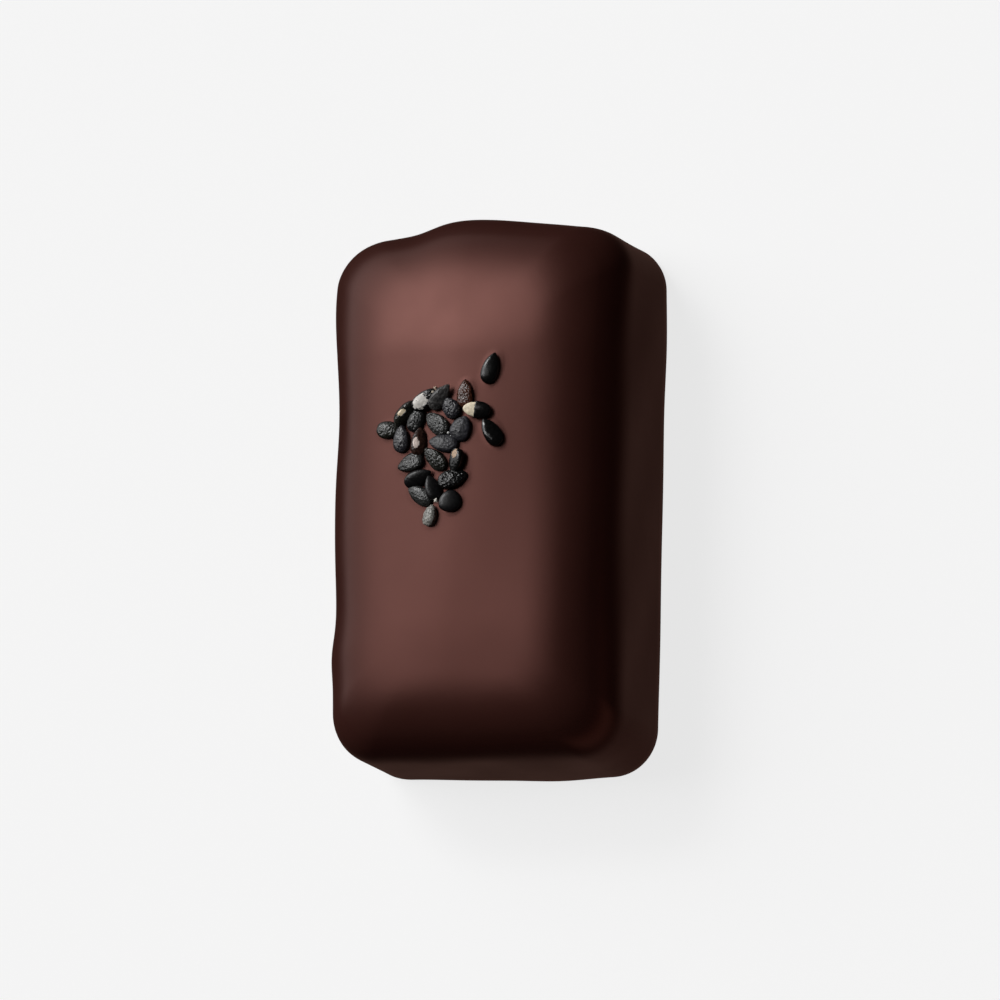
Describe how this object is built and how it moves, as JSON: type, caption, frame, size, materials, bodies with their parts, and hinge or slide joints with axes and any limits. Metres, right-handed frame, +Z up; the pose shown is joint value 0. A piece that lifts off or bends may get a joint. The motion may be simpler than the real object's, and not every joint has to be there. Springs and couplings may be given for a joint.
{
  "type": "filled chocolate",
  "caption": "Soft rectangular filled chocolate in a smooth dark coat, with a loose patch of black sesame seeds set into its top. It rests on its flat base.",
  "frame": {"origin": "on the flat base, under the middle of the bounding box", "axes": "+X across the block to its right, +Y along the block to its back, where the seeds lie nearer, +Z up out of the top face"},
  "size_m": [0.0292, 0.051, 0.0186],
  "materials": {
    "dark_chocolate": "satin dark chocolate coat, smooth, with shallow waves where it ran and set",
    "black_sesame": "dry black seed skin, finely pitted, with a rim",
    "sesame_kernel": "pale cream kernel where a seed's black skin has come off"
  },
  "bodies": {
    "root": {"chocolate": "dark_chocolate"}
  },
  "joints": []
}
